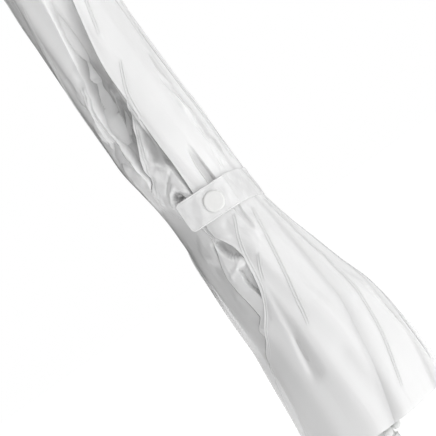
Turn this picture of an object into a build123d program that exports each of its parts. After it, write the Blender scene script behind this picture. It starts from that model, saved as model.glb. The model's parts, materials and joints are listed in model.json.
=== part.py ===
from build123d import *
import math
import os

# A stick umbrella with a translucent film canopy, furled and held by its film strap and a plastic
# snap. It stands tip up. The origin is the middle of the straight grip, on the shaft's axis, and
# +Z runs along the shaft to the ferrule. Eight ribs hang from the top notch, and eight stretchers
# run from the ribs to the runner. Sizes are in millimetres.

# ---- driving dimensions ----
RIBS = 8
RIB_STEP = 360 / RIBS
FIRST_RIB = -112.5             # azimuth of rib 1, so that gore 1 faces -Y
HINGE_Z = 695.0                # rib hinges in the top notch
RIB_LENGTH = 594.0             # rib hinge to rib end
RIB_TO_JOINT = 275.0           # rib hinge to stretcher joint
STRETCHER = 290.0              # stretcher joint to runner hinge
OPEN_ANGLE = 72.0              # how far a rib swings out from the shaft
RIB_RING = 11.5                # radius of the ring of rib hinges
STRETCHER_RING = 7.7           # radius of the ring of stretcher hinges
STRAP_Z = 265.0                # middle of the strap
FIT = 0.05                     # radial clearance of a pin that turns in an eye

SHAFT_R, SHAFT_BORE_R = 5.0, 4.2
SHAFT_FOOT_Z = 20.0
SHAFT_TOP_Z = HINGE_Z + 18
RIB_R = 1.5
EYE_THICK = 1.6                # thickness of every hinge eye
SLOT_WIDE = 2.0                # slots that hold the eyes
WIRE_R = 0.6                   # hinge wires and hinge pins
RIB_EYE_R = 1.6
ROD_START = 6.0                # from a hinge to the round rod beside it

GRIP_R = 8.0
GRIP_TOP_Z = 60.0
HOOK_R = 30.0                  # centreline radius of the crook
HOOK_START_Z = -60.0
HOOK_TIP_Z = -42.0

JOINT_Z = HINGE_Z - RIB_TO_JOINT
RUNNER_Z = JOINT_Z - STRETCHER
RUNNER_BORE_R = SHAFT_R + 0.08
CROWN_R = 9.7
STEM_R = 7.9
KEY_R = 7.6                    # groove along the runner's bore that passes the catches
KEY_WIDE = 2.3
FLUTE_R = 6.3                  # floor of the flutes that the stretchers' feet run in

RUNNER_HALF_CROWN = 2.5
RUNNER_DOWN = 42.0             # the runner's stem below its hinges


def runner_open_height():
    """Height of the runner's hinges when the ribs stand out by OPEN_ANGLE."""
    a = math.radians(OPEN_ANGLE)
    inset = RIB_RING - STRETCHER_RING
    reach = RIB_TO_JOINT * math.sin(a) - inset * math.cos(a) + inset
    drop = RIB_TO_JOINT * math.cos(a) + inset * math.sin(a)
    return HINGE_Z - drop - math.sqrt(STRETCHER ** 2 - reach ** 2)


CATCH_R = 7.2                  # how far a catch stands out from the shaft's axis
CATCH_WIDE = 1.6
CATCH_TALL = 12.0
BOTTOM_CATCH_Z = RUNNER_Z + RUNNER_HALF_CROWN + CATCH_TALL / 2 + 0.5
TOP_CATCH_Z = runner_open_height() - RUNNER_DOWN - CATCH_TALL / 2 - 0.5
STOP_PIN_Z = runner_open_height() + RUNNER_HALF_CROWN + 2.0

# Outer radius of the furled film, by height, and its wall.
FILM_PROFILE = [
    (105.0, 45.0),
    (130.0, 41.5),
    (190.0, 33.0),
    (240.0, 27.2),
    (STRAP_Z, 26.5),
    (300.0, 27.0),
    (385.0, 27.5),
    (560.0, 23.0),
    (665.0, 17.6),
]
FILM_WALL = 3.2
FILM_GAP_DEG = 1.6             # keeps the eight gores apart
FRONT_GORE = 1

STRAP_WIDE = 19.0
STRAP_THICK = 0.6
STRAP_R = 27.4                 # middle of the strap's thickness, round the bundle
STRAP_END_ANGLE = 170.0        # where the strap is welded under the film, left of the back
SNAP_HINGE_X = 12.0            # the strap's end peels about this line
SNAP_HINGE_Y = -28.2
TAB_Y = -30.2                  # middle of the flat strap end's thickness
TAB_LEFT_X = -17.0
TAB_BEND_X = 7.0
CAP_R = 6.2

os.makedirs("parts", exist_ok=True)


def finish(part, label):
    """Name a finished piece and write it to its own file."""
    part.label = label
    export_step(part, f"parts/{label}.step")


def azimuth(index):
    """Azimuth of rib 1 to 8, in degrees."""
    return FIRST_RIB + RIB_STEP * (index - 1)


def radial_plane(angle):
    """Plane through the shaft's axis at an azimuth: local x is outward and local y is +Z."""
    a = math.radians(angle)
    return Plane(
        origin=(0, 0, 0),
        x_dir=(math.cos(a), math.sin(a), 0),
        z_dir=(math.sin(a), -math.cos(a), 0),
    )


def rod_plane(angle, radius, z):
    """Level plane whose origin is on a rod at an azimuth, with local x outward."""
    a = math.radians(angle)
    return Plane(
        origin=(radius * math.cos(a), radius * math.sin(a), z),
        x_dir=(math.cos(a), math.sin(a), 0),
        z_dir=(0, 0, 1),
    )


# ---- shaft and its fittings ----
with BuildPart() as shaft:
    with BuildSketch(Plane.XY.offset(SHAFT_FOOT_Z)):
        Circle(SHAFT_R)
        Circle(SHAFT_BORE_R, mode=Mode.SUBTRACT)
    extrude(amount=SHAFT_TOP_Z - SHAFT_FOOT_Z)
    for catch_z in (BOTTOM_CATCH_Z, TOP_CATCH_Z):
        with BuildSketch(Plane.YZ):
            with Locations((0, catch_z)):
                SlotOverall(CATCH_TALL + 5, CATCH_WIDE + 0.6, rotation=90)
        extrude(amount=SHAFT_R + 1, mode=Mode.SUBTRACT)
    with BuildSketch(Plane.YZ):
        with Locations((0, STOP_PIN_Z)):
            Circle(1.0)
    extrude(amount=SHAFT_R + 1, both=True, mode=Mode.SUBTRACT)
finish(shaft.part, "shaft")

with BuildPart() as stop_pin:
    with BuildSketch(Plane.YZ.offset(-6.6)):
        with Locations((0, STOP_PIN_Z)):
            Circle(1.0)
    extrude(amount=13.2)
    fillet(stop_pin.edges().filter_by(GeomType.CIRCLE), 0.4)
finish(stop_pin.part, "stop_pin")


def make_catch(z, up, label):
    """Sprung catch: a plate in the shaft with a nose whose flat face looks up (1) or down (-1)."""
    half = up * CATCH_TALL / 2
    with BuildPart() as catch:
        with BuildSketch(Plane.XZ):
            with BuildLine():
                Polyline(
                    (2.2, z - half - 4 * up),
                    (3.4, z - half - 4 * up),
                    (3.4, z - half),
                    (CATCH_R - 1.8, z - half),
                    (CATCH_R, z + half - 3 * up),
                    (CATCH_R, z + half),
                    (3.4, z + half),
                    (3.4, z + half + 4 * up),
                    (2.2, z + half + 4 * up),
                    close=True,
                )
            make_face()
        extrude(amount=CATCH_WIDE / 2, both=True)
    finish(catch.part, label)


make_catch(BOTTOM_CATCH_Z, -1, "bottom_catch")
make_catch(TOP_CATCH_Z, 1, "top_catch")


def make_hinge_ring(bore_r, hub_r, crown_r, slot_from, ring_r, z, stem):
    """Hub with a slotted crown: its slots hold the eyes and a groove holds the hinge wire."""
    crown_tall = 2 * RUNNER_HALF_CROWN
    with BuildPart() as hub:
        with BuildSketch(Plane.XY.offset(z - stem)):
            Circle(hub_r)
            Circle(bore_r, mode=Mode.SUBTRACT)
        extrude(amount=stem + RUNNER_HALF_CROWN)
        with BuildSketch(Plane.XY.offset(z - RUNNER_HALF_CROWN)):
            Circle(crown_r)
            Circle(hub_r - 0.5, mode=Mode.SUBTRACT)
        extrude(amount=crown_tall)
        with BuildSketch(Plane.XY.offset(z - RUNNER_HALF_CROWN)):
            with PolarLocations(slot_from + 5, RIBS, start_angle=FIRST_RIB):
                Rectangle(10, SLOT_WIDE)
        extrude(amount=crown_tall, mode=Mode.SUBTRACT)
        with BuildSketch(Plane.XZ):
            with Locations((ring_r, z)):
                Circle(WIRE_R)
        revolve(axis=Axis.Z, mode=Mode.SUBTRACT)
    return hub.part


def make_wire(ring_r, z, label):
    """Ring of wire that every eye of a crown turns on."""
    with BuildPart() as wire:
        with BuildSketch(Plane.XZ):
            with Locations((ring_r, z)):
                Circle(WIRE_R)
        revolve(axis=Axis.Z)
    finish(wire.part, label)


top_notch = make_hinge_ring(SHAFT_R, 9.0, 13.4, 9.4, RIB_RING, HINGE_Z, 14)
finish(top_notch, "top_notch")
make_wire(RIB_RING, HINGE_Z, "top_notch_wire")

with BuildPart() as runner:
    add(make_hinge_ring(RUNNER_BORE_R, STEM_R, CROWN_R, 5.9, STRETCHER_RING, RUNNER_Z, RUNNER_DOWN))
    for flange_z, flange_tall in ((RUNNER_Z - RUNNER_DOWN, 5), (RUNNER_Z - 13, 3)):
        with BuildSketch(Plane.XY.offset(flange_z)):
            Circle(9.3)
            Circle(STEM_R - 0.4, mode=Mode.SUBTRACT)
        extrude(amount=flange_tall)
    with BuildSketch(Plane.XY.offset(RUNNER_Z - RUNNER_DOWN)):
        with PolarLocations(FLUTE_R + 5, RIBS, start_angle=FIRST_RIB):
            Rectangle(10, SLOT_WIDE)
    extrude(amount=RUNNER_DOWN, mode=Mode.SUBTRACT)
    with BuildSketch(Plane.XY.offset(RUNNER_Z - RUNNER_DOWN)):
        with Locations((KEY_R / 2, 0)):
            Rectangle(KEY_R, KEY_WIDE)
    extrude(amount=RUNNER_DOWN + RUNNER_HALF_CROWN, mode=Mode.SUBTRACT)
finish(runner.part, "runner")
make_wire(STRETCHER_RING, RUNNER_Z, "runner_wire")

with BuildPart() as top_cap:
    with BuildSketch(Plane.XZ):
        with BuildLine():
            Polyline(
                (8.5, HINGE_Z + 10),
                (SHAFT_R, HINGE_Z + 10),
                (SHAFT_R, HINGE_Z + 5),
                (14, HINGE_Z + 5),
                (16.5, HINGE_Z + 3),
            )
            ThreePointArc((16.5, HINGE_Z + 3), (14.2, HINGE_Z + 7.6), (8.5, HINGE_Z + 10))
        make_face()
    revolve(axis=Axis.Z)
finish(top_cap.part, "top_cap")

FERRULE_FOOT_Z = HINGE_Z + 10
FERRULE_PIN_Z = HINGE_Z + 28
FERRULE_R = 4.0
FERRULE_TOP_Z = HINGE_Z + 65
with BuildPart() as ferrule:
    with BuildSketch(Plane.XZ):
        with BuildLine():
            Polyline(
                (0, SHAFT_TOP_Z),
                (SHAFT_R, SHAFT_TOP_Z),
                (SHAFT_R, FERRULE_FOOT_Z),
                (7.6, FERRULE_FOOT_Z),
                (7.0, FERRULE_FOOT_Z + 8),
                (FERRULE_R, FERRULE_PIN_Z),
                (FERRULE_R, FERRULE_TOP_Z - 2),
            )
            RadiusArc((FERRULE_R, FERRULE_TOP_Z - 2), (FERRULE_R - 2, FERRULE_TOP_Z), -2)
            Polyline((FERRULE_R - 2, FERRULE_TOP_Z), (0, FERRULE_TOP_Z), (0, SHAFT_TOP_Z))
        make_face()
    revolve(axis=Axis.Z)
finish(ferrule.part, "ferrule")

# ---- handle ----
with BuildPart() as handle:
    with BuildLine():
        leg = Line((0, 0, GRIP_TOP_Z), (0, 0, HOOK_START_Z))
        bend = ThreePointArc(
            (0, 0, HOOK_START_Z),
            (HOOK_R, 0, HOOK_START_Z - HOOK_R),
            (2 * HOOK_R, 0, HOOK_START_Z),
        )
        Line((2 * HOOK_R, 0, HOOK_START_Z), (2 * HOOK_R, 0, HOOK_TIP_Z))
    with BuildSketch(Plane.XY.offset(GRIP_TOP_Z)):
        Circle(GRIP_R)
    sweep()
    fillet(handle.faces().sort_by(Axis.X)[-1].edges().group_by(Axis.Z)[-1], 3)
    with BuildSketch(Plane.XY.offset(SHAFT_FOOT_Z)):
        Circle(SHAFT_R)
    extrude(amount=GRIP_TOP_Z - SHAFT_FOOT_Z + 1, mode=Mode.SUBTRACT)
finish(handle.part, "handle")

COLLAR_TOP_Z = 74.0
with BuildPart() as handle_collar:
    with BuildSketch(Plane.XZ):
        with BuildLine():
            Polyline((SHAFT_R, COLLAR_TOP_Z), (SHAFT_R, GRIP_TOP_Z), (9.2, GRIP_TOP_Z), (9.2, 67))
            ThreePointArc((9.2, 67), (8.2, 71.5), (SHAFT_R, COLLAR_TOP_Z))
        make_face()
    revolve(axis=Axis.Z)
finish(handle_collar.part, "handle_collar")

# ---- ribs, stretchers and what joins them ----
EAR_OUT = 1.95                 # half width of the rib joint
EAR_HALF_TALL = 3.5
BLOCK_R = 9.7                  # the rib joint's solid block starts here
RIB_END_Z = HINGE_Z - RIB_LENGTH
STRETCHER_R = 1.2
STRETCHER_EYE_R = 1.4
FOOT_FLAT = 32.0               # flattened foot of a stretcher, which fits the runner's flutes
for i in range(1, RIBS + 1):
    angle = azimuth(i)

    with BuildPart() as rib:
        with BuildSketch(rod_plane(angle, RIB_RING, RIB_END_Z)):
            Circle(RIB_R)
        extrude(amount=RIB_LENGTH - ROD_START)
        with BuildSketch(radial_plane(angle)):
            with Locations((RIB_RING, HINGE_Z)):
                Circle(RIB_EYE_R)
            with Locations((RIB_RING, HINGE_Z - ROD_START / 2 - 1)):
                Rectangle(2.4, ROD_START + 2)
        extrude(amount=EYE_THICK / 2, both=True)
        with BuildSketch(radial_plane(angle)):
            with Locations((RIB_RING, HINGE_Z)):
                Circle(WIRE_R + FIT)
        extrude(amount=EYE_THICK, both=True, mode=Mode.SUBTRACT)
    finish(rib.part, f"rib_{i}")

    with BuildPart() as rib_tip:
        with BuildSketch(rod_plane(angle, RIB_RING, RIB_END_Z - 1)):
            Circle(2.4)
        extrude(amount=12)
        with BuildSketch(rod_plane(angle, RIB_RING, RIB_END_Z)):
            Circle(RIB_R)
        extrude(amount=12, mode=Mode.SUBTRACT)
        with Locations(rod_plane(angle, RIB_RING, RIB_END_Z - 3)):
            Sphere(2.9)
    finish(rib_tip.part, f"rib_tip_{i}")

    with BuildPart() as rib_joint:
        with BuildSketch(radial_plane(angle)):
            with Locations(((13.2 + 6.3) / 2, JOINT_Z)):
                RectangleRounded(13.2 - 6.3, 2 * EAR_HALF_TALL, 1.2)
        extrude(amount=EAR_OUT, both=True)
        with BuildSketch(radial_plane(angle)):
            with Locations((BLOCK_R / 2, JOINT_Z)):
                Rectangle(BLOCK_R, 4 * EAR_HALF_TALL)
        extrude(amount=SLOT_WIDE / 2 - 0.05, both=True, mode=Mode.SUBTRACT)
        with BuildSketch(rod_plane(angle, RIB_RING, JOINT_Z - 5)):
            Circle(RIB_R)
        extrude(amount=10, mode=Mode.SUBTRACT)
        with BuildSketch(radial_plane(angle)):
            with Locations((STRETCHER_RING, JOINT_Z)):
                Circle(WIRE_R)
        extrude(amount=EAR_OUT, both=True)
    finish(rib_joint.part, f"rib_joint_{i}")

    with BuildPart() as stretcher:
        with BuildSketch(rod_plane(angle, STRETCHER_RING, RUNNER_Z + FOOT_FLAT)):
            Circle(STRETCHER_R)
        extrude(amount=STRETCHER - FOOT_FLAT - ROD_START)
        with BuildSketch(radial_plane(angle)):
            with Locations((STRETCHER_RING, JOINT_Z), (STRETCHER_RING, RUNNER_Z)):
                Circle(STRETCHER_EYE_R)
            with Locations((STRETCHER_RING, JOINT_Z - ROD_START / 2 - 1)):
                Rectangle(2.0, ROD_START + 2)
            with Locations((STRETCHER_RING, RUNNER_Z + FOOT_FLAT / 2 + 1)):
                Rectangle(2.0, FOOT_FLAT + 2)
        extrude(amount=EYE_THICK / 2, both=True)
        with BuildSketch(radial_plane(angle)):
            with Locations((STRETCHER_RING, JOINT_Z), (STRETCHER_RING, RUNNER_Z)):
                Circle(WIRE_R + FIT)
        extrude(amount=EYE_THICK, both=True, mode=Mode.SUBTRACT)
    finish(stretcher.part, f"stretcher_{i}")

# ---- the furled film: one wedge of the bundle for each gore ----
SNAP_SHANK_R = 1.0
for i in range(1, RIBS + 1):
    start = azimuth(i) + FILM_GAP_DEG / 2
    with BuildPart() as gore:
        with BuildSketch(radial_plane(start)):
            with BuildLine():
                outer = Spline([(r, z) for z, r in FILM_PROFILE])
                inner = Spline([(r - FILM_WALL, z) for z, r in FILM_PROFILE])
                Line(outer @ 0, inner @ 0)
                Line(outer @ 1, inner @ 1)
            make_face()
        revolve(axis=Axis.Z, revolution_arc=RIB_STEP - FILM_GAP_DEG)
        if i == FRONT_GORE:
            with BuildSketch(Plane.XZ):
                with Locations((0, STRAP_Z)):
                    Circle(SNAP_SHANK_R)
            extrude(amount=STRAP_R + 5, mode=Mode.SUBTRACT)
    finish(gore.part, f"gore_{i}")

# ---- strap and snap, in front of gore 1 ----
tangent_reach = math.hypot(SNAP_HINGE_X, SNAP_HINGE_Y)
hinge_angle = math.degrees(math.atan2(SNAP_HINGE_Y, SNAP_HINGE_X))
tangent_angle = hinge_angle + math.degrees(math.acos(STRAP_R / tangent_reach))
with BuildPart() as strap_band:
    with BuildSketch(Plane.XY.offset(STRAP_Z - STRAP_WIDE / 2)):
        with BuildLine():
            wrap = CenterArc((0, 0), STRAP_R, tangent_angle, STRAP_END_ANGLE - tangent_angle)
            lead = Line(wrap @ 0, (SNAP_HINGE_X + 0.6, SNAP_HINGE_Y + 0.7))
        trace(line_width=STRAP_THICK)
    extrude(amount=STRAP_WIDE)
finish(strap_band.part, "strap_band")

with BuildPart() as strap_end:
    with BuildSketch(Plane.XY.offset(STRAP_Z - STRAP_WIDE / 2)):
        with BuildLine():
            Polyline(
                (SNAP_HINGE_X, SNAP_HINGE_Y),
                (TAB_BEND_X, TAB_Y),
                (-TAB_BEND_X, TAB_Y),
                (TAB_LEFT_X, TAB_Y + 1.6),
            )
        trace(line_width=STRAP_THICK)
    extrude(amount=STRAP_WIDE)
    with BuildSketch(Plane.XZ):
        with Locations((0, STRAP_Z)):
            Circle(SNAP_SHANK_R)
    extrude(amount=-TAB_Y + 5, mode=Mode.SUBTRACT)
finish(strap_end.part, "strap_end")


def front_cylinder(near, far, radius, mode=Mode.ADD):
    """Cylinder on the snap's axis between two distances in front of the shaft's axis."""
    with Locations(Plane(origin=(0, -near, STRAP_Z), x_dir=(1, 0, 0), z_dir=(0, -1, 0))):
        Cylinder(radius, far - near, align=(Align.CENTER, Align.CENTER, Align.MIN), mode=mode)


FILM_FRONT = 26.5              # outer face of the film at the snap
STUD_BACK = FILM_FRONT + 0.1
STUD_FACE = STUD_BACK + 0.8
NUB_TOP = STUD_FACE + 1.5
NUB_R = 2.0
SOCKET_BORE_R = NUB_R + 0.4
SOCKET_BACK = STUD_FACE + 0.3
TAB_BACK = -TAB_Y - STRAP_THICK / 2
TAB_FACE = -TAB_Y + STRAP_THICK / 2

with BuildPart() as snap_post:
    front_cylinder(FILM_FRONT - FILM_WALL - 1.2, FILM_FRONT - FILM_WALL - 0.2, 5.0)
    front_cylinder(FILM_FRONT - FILM_WALL - 0.2, NUB_TOP - 0.6, SNAP_SHANK_R)
finish(snap_post.part, "snap_post")

with BuildPart() as snap_stud:
    front_cylinder(STUD_BACK, STUD_FACE, 4.8)
    front_cylinder(STUD_FACE, NUB_TOP, NUB_R)
    front_cylinder(STUD_BACK, NUB_TOP - 0.6, SNAP_SHANK_R, Mode.SUBTRACT)
finish(snap_stud.part, "snap_stud")

with BuildPart() as snap_socket:
    front_cylinder(SOCKET_BACK, TAB_BACK, 5.2)
    front_cylinder(SOCKET_BACK, NUB_TOP + 0.3, SOCKET_BORE_R, Mode.SUBTRACT)
    front_cylinder(NUB_TOP + 0.3, TAB_BACK, SNAP_SHANK_R, Mode.SUBTRACT)
finish(snap_socket.part, "snap_socket")

CAP_THICK = 1.7
with BuildPart() as snap_cap:
    front_cylinder(TAB_FACE, TAB_FACE + CAP_THICK, CAP_R)
    fillet(snap_cap.faces().sort_by(Axis.Y)[0].edges(), 1.1)
    front_cylinder(NUB_TOP + 0.5, TAB_FACE, SNAP_SHANK_R)
finish(snap_cap.part, "snap_cap")
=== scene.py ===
import json
import math

import bmesh
import bpy
import numpy as np
from mathutils import Matrix, Vector


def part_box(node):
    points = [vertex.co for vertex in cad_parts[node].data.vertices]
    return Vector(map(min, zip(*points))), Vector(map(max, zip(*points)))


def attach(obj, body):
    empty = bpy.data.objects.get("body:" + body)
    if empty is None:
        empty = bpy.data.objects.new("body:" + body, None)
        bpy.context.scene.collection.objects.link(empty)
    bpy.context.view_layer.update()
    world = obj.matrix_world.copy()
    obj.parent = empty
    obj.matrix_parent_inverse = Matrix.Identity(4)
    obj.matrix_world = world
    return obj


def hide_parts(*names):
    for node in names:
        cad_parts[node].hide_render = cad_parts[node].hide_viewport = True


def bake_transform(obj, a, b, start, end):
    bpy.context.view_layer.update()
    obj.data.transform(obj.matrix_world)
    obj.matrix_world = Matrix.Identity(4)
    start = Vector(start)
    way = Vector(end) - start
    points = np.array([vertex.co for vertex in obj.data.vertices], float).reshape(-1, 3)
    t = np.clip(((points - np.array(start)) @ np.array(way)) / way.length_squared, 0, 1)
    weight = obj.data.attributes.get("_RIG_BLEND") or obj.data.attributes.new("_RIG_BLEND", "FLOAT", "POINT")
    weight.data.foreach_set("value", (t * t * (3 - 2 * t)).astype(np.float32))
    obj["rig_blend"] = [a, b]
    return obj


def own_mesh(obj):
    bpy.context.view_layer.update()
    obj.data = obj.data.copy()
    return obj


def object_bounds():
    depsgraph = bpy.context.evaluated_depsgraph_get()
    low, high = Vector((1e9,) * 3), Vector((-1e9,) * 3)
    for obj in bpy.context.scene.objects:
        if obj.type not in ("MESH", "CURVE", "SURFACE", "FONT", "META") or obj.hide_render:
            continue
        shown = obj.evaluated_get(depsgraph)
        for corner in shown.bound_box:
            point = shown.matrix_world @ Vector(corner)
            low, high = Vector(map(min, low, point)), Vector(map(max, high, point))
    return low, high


# A furled translucent film umbrella, standing tip up. Shapes are worked out in millimetres and
# "psi" is the angle round the shaft in degrees: 0 faces the camera (-Y) and 90 faces +X.

MM = 0.001
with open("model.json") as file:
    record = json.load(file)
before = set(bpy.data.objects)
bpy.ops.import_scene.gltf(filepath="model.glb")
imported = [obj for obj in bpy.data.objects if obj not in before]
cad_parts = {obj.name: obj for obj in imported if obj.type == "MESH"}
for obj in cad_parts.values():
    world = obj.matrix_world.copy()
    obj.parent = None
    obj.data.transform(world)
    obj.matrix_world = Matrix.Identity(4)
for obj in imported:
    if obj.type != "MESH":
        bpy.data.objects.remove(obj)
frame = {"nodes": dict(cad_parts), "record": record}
cad_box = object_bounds()

STRAP_LOW, STRAP_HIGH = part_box("strap_band")
STRAP_Z = (STRAP_LOW.z + STRAP_HIGH.z) / 2 / MM
STRAP_WIDE = (STRAP_HIGH.z - STRAP_LOW.z) / MM
HINGE_Z = sum(c.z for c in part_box("top_notch_wire")) / 2 / MM
CAP_FACE_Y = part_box("snap_cap")[0].y / MM


def add_object(name, data):
    thing = bpy.data.objects.new(name, data)
    bpy.context.scene.collection.objects.link(thing)
    return thing


# ---------------------------------------------------------------- camera
VIEW_WIDTH = 246.0                 # width of the frame at the snap
CAMERA_AWAY = 850.0
CAMERA_ROLL = math.radians(35.6)
SENSOR = 36.0
CLIP_START, CLIP_END = 0.01, 50.0
SNAP_RIGHT, SNAP_UP = -2.3, 9.6    # where the snap sits from the middle of the frame


def make_camera():
    data = bpy.data.cameras.new("camera")
    data.sensor_width = SENSOR
    data.lens = SENSOR * CAMERA_AWAY / VIEW_WIDTH
    data.clip_start, data.clip_end = CLIP_START, CLIP_END
    camera = add_object("camera", data)
    right = Vector((math.cos(CAMERA_ROLL), 0, -math.sin(CAMERA_ROLL)))
    up = Vector((math.sin(CAMERA_ROLL), 0, math.cos(CAMERA_ROLL)))
    snap = Vector((0, CAP_FACE_Y, STRAP_Z))
    middle = snap - right * SNAP_RIGHT - up * SNAP_UP
    place = middle - Vector((0, CAMERA_AWAY, 0))
    turn = Matrix((right, up, Vector((0, -1, 0)))).transposed()
    camera.matrix_world = Matrix.Translation(place * MM) @ turn.to_4x4()
    bpy.context.scene.camera = camera


make_camera()


# ---------------------------------------------------------------- the film's form
GORES = 8
RIB_STEP = 45.0
FIRST_RIB_PSI = -22.5
CORE_R = 14.2                  # every layer of the film starts from a core of this radius
UNROLL_R = 28.0                # radius at which psi is turned into a distance
FILM_TOP = HINGE_Z + 3.5
HEM_Z = 106.0
NEAR_LOW, NEAR_HIGH = 168, 372     # heights between which the camera is close
LOW_STEP, NEAR_STEP, HIGH_ROWS = 3.6, 1.35, 48     # how the film is divided below, there and above

# Height, outer radius, and how far the bundle's middle lies off the shaft towards +X.
BUNDLE = [
    (HEM_Z - 12, 47.5, 5.0),
    (112.0, 46.5, 6.5),
    (140.0, 44.5, 7.5),
    (175.0, 40.4, 6.8),
    (197.0, 36.8, 3.8),
    (220.0, 33.2, 1.0),
    (240.0, 30.0, -1.1),
    (252.0, 28.1, -1.6),
    (265.0, 27.6, -1.8),
    (277.0, 27.9, -2.0),
    (293.0, 29.0, -3.1),
    (310.0, 29.9, -4.4),
    (325.0, 29.3, -4.5),
    (355.0, 28.9, -4.6),
    (450.0, 27.0, -3.0),
    (560.0, 23.0, -1.0),
    (640.0, 18.6, 0.0),
    (690.0, 15.8, 0.0),
    (FILM_TOP, 15.0, 0.0),
]


def smooth_curve(points):
    """A function through the given (place, value) points, smooth and without overshoot."""
    points = sorted(points)
    xs = np.array([p[0] for p in points], float)
    ys = np.array([p[1] for p in points], float)
    slopes = np.diff(ys) / np.diff(xs)
    tangents = np.zeros(len(xs))
    tangents[0], tangents[-1] = slopes[0], slopes[-1]
    for i in range(1, len(xs) - 1):
        a, b = slopes[i - 1], slopes[i]
        tangents[i] = 0.0 if a * b <= 0 else 2 * a * b / (a + b)

    def value(x):
        x = np.clip(np.asarray(x, float), xs[0], xs[-1])
        i = np.clip(np.searchsorted(xs, x, side="right") - 1, 0, len(xs) - 2)
        step = xs[i + 1] - xs[i]
        t = (x - xs[i]) / step
        return (
            (2 * t ** 3 - 3 * t ** 2 + 1) * ys[i]
            + (t ** 3 - 2 * t ** 2 + t) * step * tangents[i]
            + (-2 * t ** 3 + 3 * t ** 2) * ys[i + 1]
            + (t ** 3 - t ** 2) * step * tangents[i + 1]
        )

    return value


bundle_radius = smooth_curve([(z, r) for z, r, _ in BUNDLE])
bundle_shift = smooth_curve([(z, s) for z, _, s in BUNDLE])


def smoothstep(x, low, high):
    t = np.clip((np.asarray(x, float) - low) / (high - low), 0, 1)
    return t * t * (3 - 2 * t)


def turn_from(psi, middle):
    """Signed angle from middle to psi, between -180 and 180."""
    return (np.asarray(psi, float) - middle + 180) % 360 - 180


def seen(points):
    """Turns (height, x) points on the side that faces the camera into (height, psi)."""
    turned = []
    for z, x in points:
        across = (x - float(bundle_shift(z))) / float(bundle_radius(z))
        turned.append((z, math.degrees(math.asin(max(-1.0, min(1.0, across))))))
    return turned


# The fold edge of each of the eight flaps, as height and psi. Flap k is rooted at a rib, winds
# round the bundle with falling psi, and turns back at this edge to the next rib.
LEFT, SIDE, MAIN, RIGHT = 0, 1, 2, 3
FIRST_ROOT = 157.5
FLAP_EDGES = [
    [(95, -134), (150, -116), (175, -110), (265, -99), (355, -92), (500, -20), (700, 57)],
    [(95, -98), (150, -74)]
    + seen([
        (172, -28.2), (180, -23), (184, -21.4), (189, -22.6), (197, -17.2), (209, -18.4),
        (223, -19.8), (231, -18.6), (241, -15.4), (248, -14.0), (256, -15), (268, -22),
        (281, -27.2), (293, -25.4), (332, -11.6), (341, -6.8), (355, 0),
    ])
    + [(500, 40), (700, 102)],
    [(95, -84), (150, -62)]
    + seen([
        (173, -28), (186, -20.9), (197, -14), (206, -9.2), (217, -6.8), (230, -5.1), (237, -6.2),
        (243, -9), (249, -12), (254, -12.4), (265, -9), (276, -7.4), (310, -7.3), (355, -7.3),
    ])
    + [(400, 8), (500, 65), (700, 147)],
    [(95, -2), (150, 16)]
    + seen([(175, 24.5), (200, 23.8), (225, 22.8), (250, 21), (276, 19.8), (310, 19.4), (355, 19.8)])
    + [(500, 110), (700, 192)],
    [(95, 42), (175, 73), (220, 87), (265, 95), (355, 102), (500, 160), (700, 237)],
    [(95, 88), (175, 120), (265, 140), (355, 150), (500, 205), (700, 282)],
    [(95, 130), (175, 160), (265, 184), (355, 190), (500, 248), (700, 327)],
    [(95, 172), (175, 200), (265, 220), (355, 228), (500, 290), (700, 372)],
]
FLAPS = len(FLAP_EDGES)
SPIRAL_POWER = 2.1             # how fast a layer climbs from the core to the bundle's outside
edge_curves = [smooth_curve(points) for points in FLAP_EDGES]


# ---------------------------------------------------------------- creases
rng = np.random.default_rng(7)
PLEATS = 64
pleat_psi = rng.uniform(-180, 180, PLEATS)
pleat_wide = rng.uniform(1.8, 5.0, PLEATS)
pleat_deep = rng.uniform(-0.75, 0.6, PLEATS)
pleat_long = rng.uniform(10, 46, PLEATS)
pleat_side = rng.choice([-1.0, 1.0], PLEATS)
pleat_lean = rng.uniform(-0.25, 0.15, PLEATS)
WAVES = 18
wave_count = rng.integers(3, 17, WAVES)
wave_phase = rng.uniform(0, 2 * math.pi, WAVES)
wave_drift = rng.uniform(0.004, 0.03, WAVES)
wave_tall = rng.uniform(0.05, 0.15, WAVES)
CRUMPLES = 11
CRUMPLE_DEEP = 2.5
CRUMPLE_LONG = 22.0            # the length of the facets that are just that deep
crumple_turn = rng.uniform(-0.9, 0.9, CRUMPLES)
crumple_long = rng.uniform(9, 34, CRUMPLES)
crumple_phase = rng.uniform(0, 1, CRUMPLES)

# Each pair gives the two distances between which something sets in.
PLEATS_FROM_STRAP = (7, 14)
WAVES_FROM_STRAP = (10, 44)
WAVES_FROM_TOP = (5, 120)
CRUMPLING_FROM_STRAP = (9, 14)
FINE_CRUMPLES, FINE_DEEP = 2.3, 0.4    # how much finer, and how deep, the second set of facets is
OVAL_RIM = (0.3, 1.2)                  # squared share of an oval's size over which it fades

# Where the film is crumpled: (height, psi, half height, half width in degrees, strength).
CRUMPLED = [
    (325, -42, 46, 34, 1.0),
    (286, -38, 15, 22, 0.5),
    (236, -36, 20, 16, 0.55),
    (205, -36, 22, 15, 0.4),
    (318, 52, 46, 9, 0.75),
    (283, 50, 12, 12, 0.6),
    (246, 18, 14, 26, 0.5),
    (190, 62, 60, 14, 0.2),
    (330, 175, 60, 50, 0.5),
    (215, 150, 40, 50, 0.4),
    (300, 100, 36, 20, 0.4),
    (470, -60, 60, 60, 0.3),
]


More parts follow.
